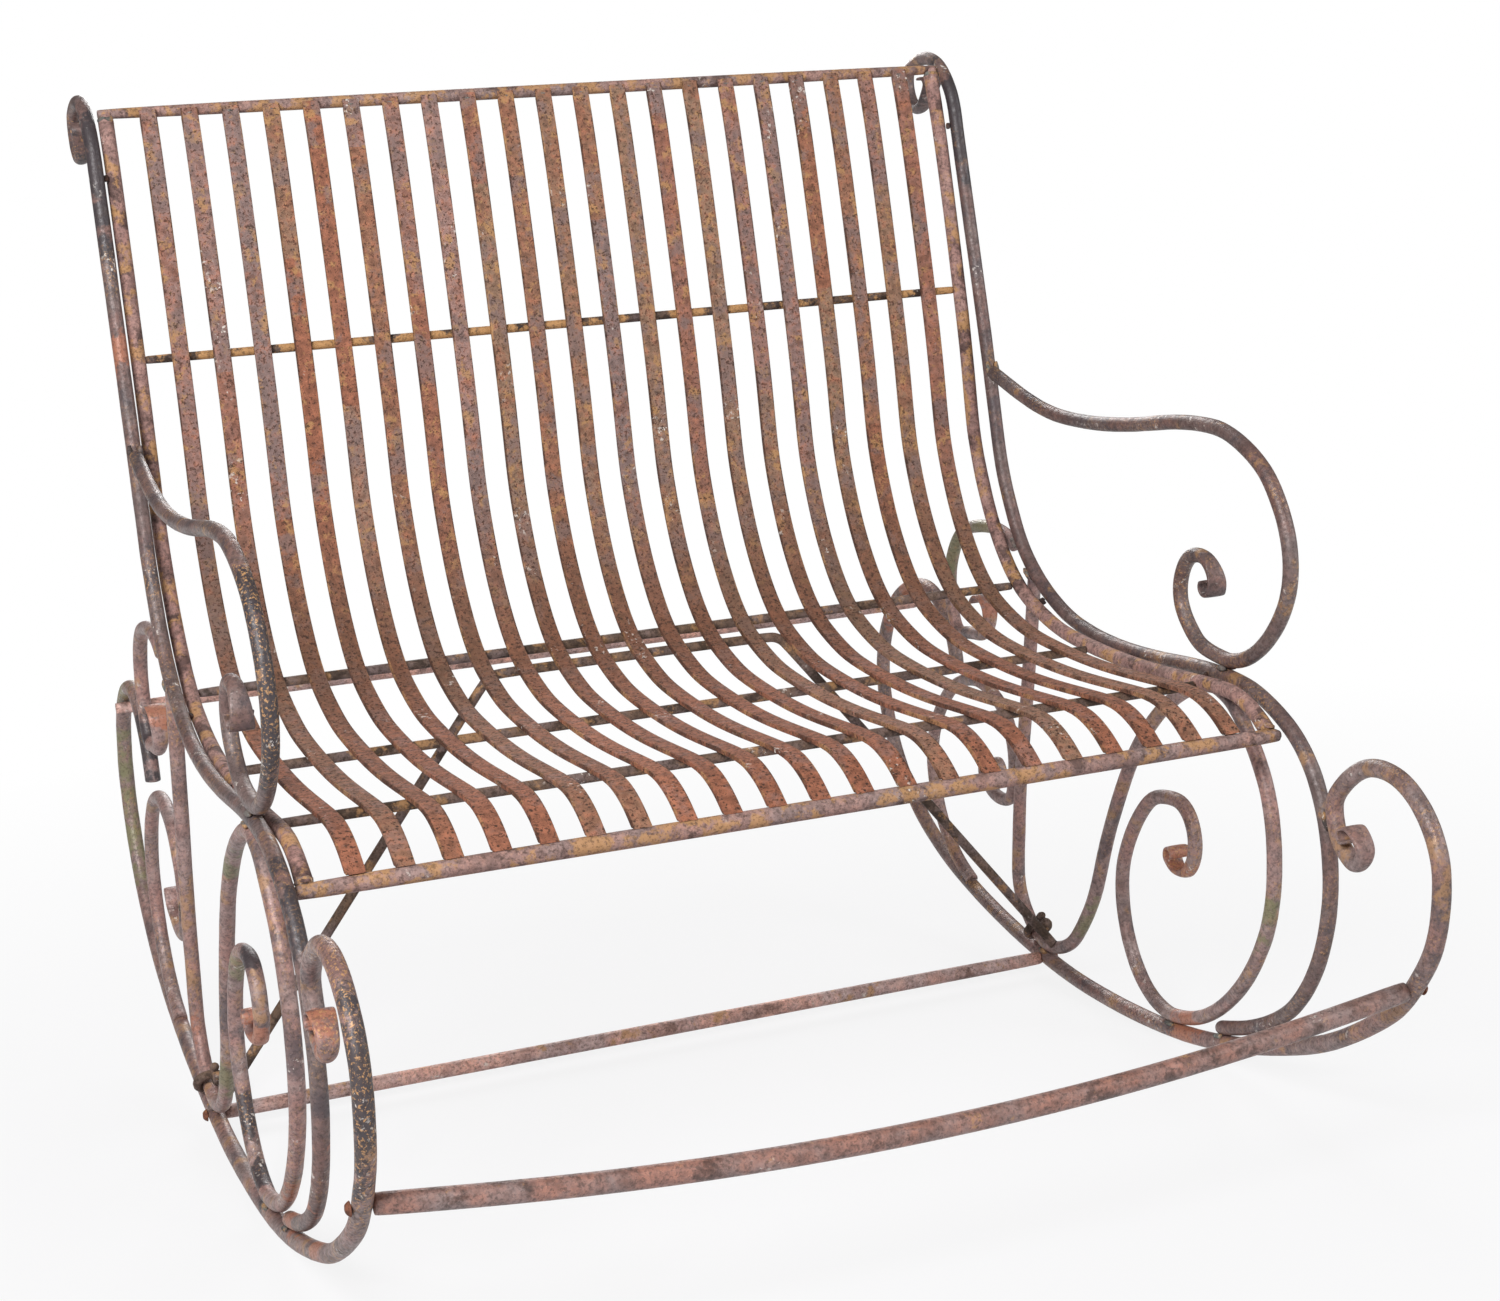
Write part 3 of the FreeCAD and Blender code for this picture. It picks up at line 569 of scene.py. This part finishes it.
class BENCH_OT_iron_finishes(bpy.types.Operator):
    """Mixes the rusted finishes and the hammer marks"""
    bl_idname = "bench.iron_finishes"
    bl_label = "Iron finishes"

    def execute(self, context):
        colours = context.scene.bench_colours
        marks = bpy.data.textures.get("hammer_marks") or bpy.data.textures.new("hammer_marks", "CLOUDS")
        marks.noise_scale = context.scene.bench_bars.hammer_size
        marks.noise_depth = 2

        slats = Finish("slat_rust", offset=(0.0, 0.0, 0.0))
        slat_coat(slats)
        specks(slats, amount=0.16)
        finish_off(slats, shine=0.1, bump_depth=0.0010, pitting=0.80)
        # The lightness of these copies is partly painted light: the scrolls low on the frames are made
        # lighter, as if lit from below, and the arms and side bars darker, partly dark paint and partly
        # painted shade
        scroll_finish("arm_iron", offset=(3.7, 0.2, 8.8), lightness=0.60, paint=0.33, ochre=0.20)
        scroll_finish("scroll_iron", offset=(1.3, 4.1, 0.4), lightness=1.12, paint=0.30, ochre=0.26)
        scroll_finish("rocker_iron", offset=(5.2, 1.7, 2.6), lightness=0.90, paint=0.30, ochre=0.27)
        bar_finish("rail_rust", colours.worn_rail, colours.grey_rust, offset=(3.1, 0.7, 1.9),
                   ochre=0.42, dark=0.30)
        bar_finish("side_rail_rust", colours.bar_rust, colours.back_rust, offset=(9.4, 3.8, 5.0),
                   ochre=0.36, dark=0.34)
        bar_finish("foot_bar_rust", tone(colours.bar_rust, 1.0, warm=0.12), tone(colours.grey_rust, 0.95),
                   offset=(8.1, 5.5, 6.7), ochre=0.14, dark=0.30, speckled=0.20, shine=1.0)
        bar_finish("back_bar_rust", tone(colours.olive_rust, 0.40), tone(colours.grey_rust, 0.45),
                   offset=(6.6, 3.2, 4.4), ochre=0.50, dark=0.40, cover=0.95)
        bar_finish("weld_scale", tone(colours.grey_rust, 0.75), colours.weld_tint,
                   offset=(1.9, 8.8, 3.6), ochre=0.36, dark=0.30, speckled=0.30)
        bar_finish("seat_bar_rust", tone(colours.olive_rust, 0.60), tone(colours.grey_rust, 0.62),
                   offset=(2.2, 6.3, 0.8), ochre=0.28, dark=0.38, cover=0.60)
        # Painted light: the stretchers' rust is made much paler than the rails', to light them where the
        # seat shades them
        bar_finish("tie_bar_rust", tone(colours.worn_rail, 1.75, warm=0.06), tone(colours.grey_rust, 1.80),
                   offset=(7.7, 2.4, 3.3), ochre=0.22, dark=0.26, speckled=0.22, shine=0.6)
        bar_finish("rivet_rust", tone(colours.slat_rust, 0.7, warm=0.1), tone(colours.slat_rust, 0.45),
                   offset=(0.9, 2.9, 7.1), ochre=0.25, dark=0.3, speckled=0.0)
        bar_finish("dark_rust", tone(colours.slat_rust, 0.3), tone(colours.grey_rust, 0.2),
                   offset=(4.4, 4.9, 1.1), ochre=0.1, dark=0.4, speckled=0.0)
        return {"FINISHED"}


# ---- welds ----

def between(first, second, hint):
    """The place near the hint where two nodes come closest, and the direction in which they run there."""
    trees = [BVHTree.FromPolygons([v.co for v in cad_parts[node].data.vertices],
                                  [p.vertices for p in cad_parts[node].data.polygons])
             for node in (first, second)]
    place = hint
    for _ in range(TOUCH_STEPS):
        ends = [tree.find_nearest(place)[0] for tree in trees]
        place = (ends[0] + ends[1]) / 2
    if (ends[0] - ends[1]).length > TOUCHING:
        raise RuntimeError(f"{first} and {second} do not touch there")
    place.x = hint.x
    outward = trees[0].find_nearest(place)[1]
    return place, outward.cross(ACROSS).normalized()


def weld_bead(place, along, half_sizes, seed):
    """A lumpy bead of weld metal, longest in the direction of along."""
    bpy.ops.object.select_all(action="DESELECT")
    bpy.ops.mesh.primitive_ico_sphere_add(subdivisions=2, radius=1.0)
    bead = bpy.context.object
    bpy.ops.object.mode_set(mode="EDIT")
    bpy.ops.mesh.select_all(action="SELECT")
    bpy.ops.transform.vertex_random(offset=BEAD_LUMPS, seed=seed % SEED_COUNT)
    bpy.ops.object.mode_set(mode="OBJECT")
    third = along.cross(beside(along)).normalized()
    side = third.cross(along).normalized()
    axes = [axis * size for axis, size in zip((along, third, side), half_sizes)]
    bead.matrix_world = Matrix.Translation(place) @ Matrix(axes).transposed().to_4x4()
    return bead


def joined(parts, name, finish, lumps=0.0):
    """Makes one piece of the parts, with its place in its mesh and its faces pointing outwards."""
    bpy.ops.object.select_all(action="DESELECT")
    for part in parts:
        part.select_set(True)
    bpy.context.view_layer.objects.active = parts[0]
    bpy.ops.object.join()
    bpy.ops.object.transform_apply(location=True, rotation=True, scale=True)
    piece = bpy.context.object
    piece.name = name
    bpy.ops.object.mode_set(mode="EDIT")
    bpy.ops.mesh.select_all(action="SELECT")
    bpy.ops.mesh.remove_doubles(threshold=MERGED)
    bpy.ops.mesh.normals_make_consistent(inside=False)
    if lumps:
        bpy.ops.transform.vertex_random(offset=lumps, seed=7)
    bpy.ops.object.mode_set(mode="OBJECT")
    bpy.ops.object.shade_smooth()
    set_on(piece, finish)


# ---- pieces ----

class BENCH_OT_end_frames(bpy.types.Operator):
    """Rounds the side bars, arms, leg scrolls, rear scrolls and rockers"""
    bl_idname = "bench.end_frames"
    bl_label = "End frames"

    def execute(self, context):
        edge = context.scene.bench_bars.edge_width
        for side in SIDES:
            for bar in ("leg_scroll", "lower_scroll", "upper_scroll"):
                rounded_bar(f"{side}_{bar}", "scroll_iron", edge, True)
            for bar in ("arm", "side_bar"):
                rounded_bar(f"{side}_{bar}", "arm_iron", edge, True)
            rounded_bar(f"{side}_rocker", "rocker_iron", edge, True)
        return {"FINISHED"}


class BENCH_OT_panel(bpy.types.Operator):
    """Rounds the side rails, the top and front rails and the bars under the slats"""
    bl_idname = "bench.panel"
    bl_label = "Seat and back rails"

    def execute(self, context):
        edge = context.scene.bench_bars.edge_width
        for side in SIDES:
            rounded_bar(f"{side}_side_rail", "side_rail_rust", edge, True)
        for rail in ("top_rail", "front_rail"):
            rounded_bar(rail, "rail_rust", edge, False)
        for bar in CROSS_BARS:
            finish = "back_bar_rust" if bar == "mid_back_bar" else "seat_bar_rust"
            rounded_bar(bar, finish, edge, False)
        return {"FINISHED"}


class BENCH_OT_slats(bpy.types.Operator):
    """Rounds the slats and keeps their edges"""
    bl_idname = "bench.slats"
    bl_label = "Slats"

    def execute(self, context):
        for slat in SLATS:
            rounded_bar(slat, "slat_rust", context.scene.bench_bars.slat_edge, False)
        return {"FINISHED"}


class BENCH_OT_ties(bpy.types.Operator):
    """Rounds the stretchers, the foot bar and the brace, and the rivets and lugs that hold the bars"""
    bl_idname = "bench.ties"
    bl_label = "Stretchers, brace and rivets"

    def execute(self, context):
        edge = context.scene.bench_bars.edge_width
        for bar in ("stretcher", "rear_stretcher"):
            rounded_bar(bar, "tie_bar_rust", edge, False)
        rounded_bar("foot_bar", "foot_bar_rust", edge, False)
        rounded_bar("brace", "seat_bar_rust", edge, False)
        for side in SIDES:
            rounded_bar(f"{side}_rivets", "rivet_rust", edge, False)
            rounded_bar(f"{side}_links", "dark_rust", edge, False)
        return {"FINISHED"}


def placed(piece, place, axis):
    """Turns a piece so that its upright axis lies along the given one, and puts it in its place."""
    third = axis.cross(beside(axis)).normalized()
    side = third.cross(axis)
    piece.matrix_world = Matrix.Translation(place) @ Matrix((side, third, axis)).transposed().to_4x4()
    return piece


class BENCH_OT_brace_curls(bpy.types.Operator):
    """Wraps the ends of the brace round the feet of the legs and rolls their tips"""
    bl_idname = "bench.brace_curls"
    bl_label = "Curls of the brace"

    def execute(self, context):
        wrap_axis = set_down().to_3x3() @ Vector((0.0, *WRAP_AXIS))
        for side, sign in zip(SIDES, (-1, 1)):
            bpy.ops.object.select_all(action="DESELECT")
            bpy.ops.mesh.primitive_torus_add(major_segments=24, minor_segments=10,
                                             major_radius=WRAP_RADIUS, minor_radius=WRAP_THICKNESS)
            wrap = placed(context.object, stood(sign * FRAME_MIDDLE, WRAP_PLACE), wrap_axis)
            bpy.ops.object.select_all(action="DESELECT")
            bpy.ops.mesh.primitive_circle_add(vertices=10, radius=TIP_THICKNESS, fill_type="NGON",
                                              location=(TIP_RADIUS, 0.0, 0.0),
                                              rotation=(math.pi / 2, 0.0, 0.0))
            tip = context.object
            bpy.ops.object.mode_set(mode="EDIT")
            bpy.ops.mesh.select_all(action="SELECT")
            bpy.ops.mesh.spin(steps=14, angle=TIP_TURN, center=(0.0, 0.0, 0.0), axis=(0.0, 0.0, 1.0))
            bpy.ops.object.mode_set(mode="OBJECT")
            bpy.ops.object.transform_apply(location=True, rotation=True, scale=True)
            placed(tip, stood(sign * (FRAME_MIDDLE - TIP_INWARD), TIP_PLACE), ACROSS)
            joined([wrap, tip], f"{side}_brace_curl", "seat_bar_rust", CURL_LUMPS)
        return {"FINISHED"}


class BENCH_OT_welds(bpy.types.Operator):
    """Lays the weld beads where the bars lie against each other and where the slats end"""
    bl_idname = "bench.welds"
    bl_label = "Welds"

    def execute(self, context):
        turned = set_down().to_3x3()
        for rail, toward in ENDS_OF_SLATS:
            middle = middle_of(rail)
            low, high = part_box(rail)
            radius = (high.z - low.z) / 2
            along = (turned @ Vector((0.0, *toward))).normalized()
            front = ACROSS.cross(along)
            front = front if front.z > 0 else -front
            joint = middle + front * SLAT_RISE + along * (radius * SLAT_WELD_REACH)
            beads = [weld_bead(Vector((number * SLAT_PITCH, *joint.yz)), ACROSS, SLAT_BEAD, number)
                     for number in range(-(len(SLATS) // 2), len(SLATS) // 2 + 1)]
            corner = middle + along * radius * CORNER_WELD_REACH
            beads += [weld_bead(Vector((sign * CORNER_WELD, *corner.yz)), along, CORNER_BEAD,
                                CORNER_SEED + sign) for sign in (-1, 1)]
            joined(beads, f"{rail}_welds", "weld_scale")
        for side, sign in zip(SIDES, (-1, 1)):
            beads = []
            for seed, (first, second, y, z) in enumerate(FRAME_WELDS):
                hint = stood(sign * FRAME_MIDDLE, (y * MILLIMETRE, z * MILLIMETRE))
                place, along = between(f"{side}_{first}", f"{side}_{second}", hint)
                for face in (-1, 1):
                    beads.append(weld_bead(place + face * GROOVE_DEPTH * ACROSS, along, GROOVE_BEAD,
                                           2 * seed + face))
            joined(beads, f"{side}_frame_welds", "weld_scale")
        return {"FINISHED"}


# ---- stage ----

def seen_by(tree, *rays):
    """1 for the rays of these kinds, which are shown white, and 0 for the others."""
    paths = tree.nodes.new("ShaderNodeLightPath").outputs
    seen = paths[rays[0]]
    for ray in rays[1:]:
        either = tree.nodes.new("ShaderNodeMath")
        either.operation = "MAXIMUM"
        tree.links.new(seen, either.inputs[0])
        tree.links.new(paths[ray], either.inputs[1])
        seen = either.outputs[0]
    return seen


def mixed_shaders(tree, share, under, over, out_kind):
    """Shows one shader over another by a share from 0 to 1."""
    mix = tree.nodes.new("ShaderNodeMixShader")
    tree.links.new(share, mix.inputs["Fac"])
    tree.links.new(under.outputs[0], mix.inputs[1])
    tree.links.new(over.outputs[0], mix.inputs[2])
    out = tree.nodes.new(out_kind)
    tree.links.new(mix.outputs[0], out.inputs["Surface"])


def studio_floor(colour):
    """A pale floor that keeps the bench's shadow and turns pure white further off."""
    bpy.ops.object.select_all(action="DESELECT")
    bpy.ops.mesh.primitive_plane_add(size=FLOOR_SIZE, location=(0.0, 0.0, 0.0))
    floor = bpy.context.object
    floor.name = "studio_floor"
    material = bpy.data.materials.new("studio_floor")
    material.use_nodes = True
    tree = material.node_tree
    tree.nodes.clear()
    matt = tree.nodes.new("ShaderNodeBsdfDiffuse")
    matt.inputs["Color"].default_value = (*colour, 1.0)
    white = tree.nodes.new("ShaderNodeEmission")
    white.inputs["Color"].default_value = WHITE
    place = tree.nodes.new("ShaderNodeTexCoord")
    away = tree.nodes.new("ShaderNodeVectorMath")
    away.operation = "LENGTH"
    tree.links.new(place.outputs["Object"], away.inputs[0])
    fade = tree.nodes.new("ShaderNodeMapRange")
    for name, value in FLOOR_FADE:
        fade.inputs[name].default_value = value
    tree.links.new(away.outputs["Value"], fade.inputs["Value"])
    shown = tree.nodes.new("ShaderNodeMath")
    shown.operation = "MULTIPLY"
    tree.links.new(seen_by(tree, "Is Camera Ray", "Is Glossy Ray"), shown.inputs[0])
    tree.links.new(fade.outputs["Result"], shown.inputs[1])
    mixed_shaders(tree, shown.outputs[0], matt, white, "ShaderNodeOutputMaterial")
    floor.data.materials.append(material)


def studio_sky(strength):
    """An even pale sky that shows white."""
    world = bpy.data.worlds.new("studio_sky")
    bpy.context.scene.world = world
    world.use_nodes = True
    tree = world.node_tree
    tree.nodes.clear()
    light, white = [tree.nodes.new("ShaderNodeBackground") for _ in range(2)]
    for shade, level in ((light, strength), (white, 1.0)):
        shade.inputs["Color"].default_value = WHITE
        shade.inputs["Strength"].default_value = level
    seen = seen_by(tree, "Is Camera Ray", "Is Transmission Ray")
    mixed_shaders(tree, seen, light, white, "ShaderNodeOutputWorld")


def soft_lamp(name, place, size, power):
    """A square lamp of an even light, aimed at the seat."""
    lamp = bpy.data.lights.new(name, "AREA")
    lamp.shape = "SQUARE"
    lamp.size = size
    lamp.energy = power
    holder = bpy.data.objects.new(name, lamp)
    holder.location = place
    holder.rotation_euler = (Vector(LAMP_AIM) - Vector(place)).to_track_quat("-Z", "Y").to_euler()
    bpy.context.scene.collection.objects.link(holder)


def photo_camera(lens_length):
    """The camera at the photograph's viewing angle."""
    down = set_down()
    turned = down.to_3x3()
    aim = turned @ DRAWN_AIM
    right = turned @ DRAWN_AIM.cross(UP).normalized()
    up = right.cross(aim).normalized()
    pose = Matrix((right, up, -aim.normalized())).transposed().to_4x4()
    pose.translation = down @ DRAWN_CAMERA
    lens = bpy.data.cameras.new("camera")
    lens.lens = lens_length
    lens.sensor_fit = "HORIZONTAL"
    lens.sensor_width = SENSOR_WIDTH
    camera = bpy.data.objects.new("camera", lens)
    camera.matrix_world = pose
    bpy.context.scene.collection.objects.link(camera)
    bpy.context.scene.camera = camera


class BENCH_OT_stage(bpy.types.Operator):
    """Lays the floor, lights the bench and places the camera"""
    bl_idname = "bench.stage"
    bl_label = "Floor, lamps and camera"

    def execute(self, context):
        studio = context.scene.bench_studio
        studio_floor(studio.floor_colour)
        studio_sky(studio.sky_strength)
        for name, place, size, power in LAMPS:
            soft_lamp(name, place, size, getattr(studio, power))
        photo_camera(studio.lens)
        context.scene.view_settings.view_transform = "Standard"
        return {"FINISHED"}


class BENCH_PT_panel(bpy.types.Panel):
    bl_label = "Rocking bench"
    bl_idname = "BENCH_PT_panel"
    bl_space_type = "VIEW_3D"
    bl_region_type = "UI"
    bl_category = "Bench"

    def draw(self, context):
        for operator in OPERATORS:
            self.layout.operator(operator.bl_idname)
        for group in ("bench_bars", "bench_colours", "bench_studio"):
            settings = getattr(context.scene, group)
            column = self.layout.column()
            for name in settings.bl_rna.properties.keys():
                if name not in ("rna_type", "name"):
                    column.prop(settings, name)


OPERATORS = (
    BENCH_OT_iron_finishes,
    BENCH_OT_end_frames,
    BENCH_OT_panel,
    BENCH_OT_slats,
    BENCH_OT_ties,
    BENCH_OT_brace_curls,
    BENCH_OT_welds,
    BENCH_OT_stage,
)
GROUPS = {
    "bench_bars": BenchBarSizes,
    "bench_colours": BenchIronColours,
    "bench_studio": BenchStudio,
}


def register():
    for name, group in GROUPS.items():
        bpy.utils.register_class(group)
        setattr(bpy.types.Scene, name, bpy.props.PointerProperty(type=group))
    for cls in OPERATORS + (BENCH_PT_panel,):
        bpy.utils.register_class(cls)


def unregister():
    for cls in reversed(OPERATORS + (BENCH_PT_panel,)):
        bpy.utils.unregister_class(cls)
    for name, group in GROUPS.items():
        delattr(bpy.types.Scene, name)
        bpy.utils.unregister_class(group)


def main():
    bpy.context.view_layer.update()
    register()
    bpy.ops.bench.iron_finishes()
    bpy.ops.bench.end_frames()
    bpy.ops.bench.panel()
    bpy.ops.bench.slats()
    bpy.ops.bench.ties()
    bpy.ops.bench.brace_curls()
    bpy.ops.bench.welds()
    bpy.ops.bench.stage()


if __name__ == "__main__":
    main()
